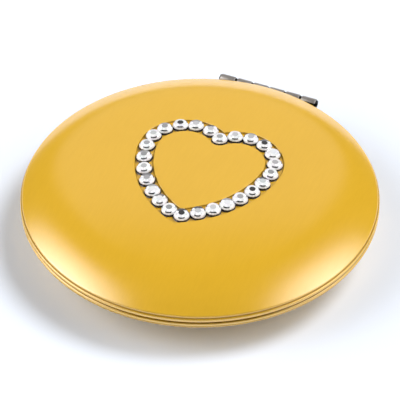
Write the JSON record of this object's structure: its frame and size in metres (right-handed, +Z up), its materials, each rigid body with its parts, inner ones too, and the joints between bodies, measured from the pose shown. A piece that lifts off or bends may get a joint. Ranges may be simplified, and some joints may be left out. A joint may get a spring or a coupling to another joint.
{
  "type": "compact mirror",
  "caption": "Round pocket compact mirror: satin gold domed lid with a heart of clear stones, dished base, flush folded rim, barrel hinge at the back, and a mirror in each half.",
  "frame": {"origin": "centre of the base's flat foot, on the surface that the closed compact rests on", "axes": "+Z up through the lid's dome, +Y towards the hinge, +X along the hinge pin"},
  "size_m": [0.07, 0.0711, 0.0152],
  "materials": {
    "satin_gold": "satin gold plate under clear lacquer",
    "polished_gold": "polished gold plate",
    "crystal": "cut, foil backed",
    "mirror_glass": "silvered behind",
    "hinge_steel": "drawn, grey",
    "nickel": "nickel plated",
    "foam": "closed-cell foam tape",
    "silicone": "soft, translucent"
  },
  "bodies": {
    "base": {"base_shell": "satin_gold", "base_tray": "polished_gold", "base_mirror_pad": "foam", "base_mirror": "mirror_glass", "base_bezel": "polished_gold", "base_hinge_leaf": "hinge_steel", "base_leaf_rivets": "hinge_steel", "hinge_pin": "hinge_steel", "base_magnet": "nickel", "rim_bumpers": "silicone"},
    "lid": {"lid_shell": "satin_gold", "heart_crystals": "crystal", "lid_tray": "polished_gold", "lid_mirror_pad": "foam", "lid_mirror": "mirror_glass", "lid_bezel": "polished_gold", "lid_hinge_leaf": "hinge_steel", "lid_leaf_rivets": "hinge_steel", "lid_striker": "nickel"}
  },
  "joints": [
    {"name": "lid_hinge", "type": "hinge", "parent": "base", "child": "lid", "pos_m": [0, 0.0352, 0.00762], "axis": [-1, 0, 0], "range_deg": [0, 180]}
  ]
}
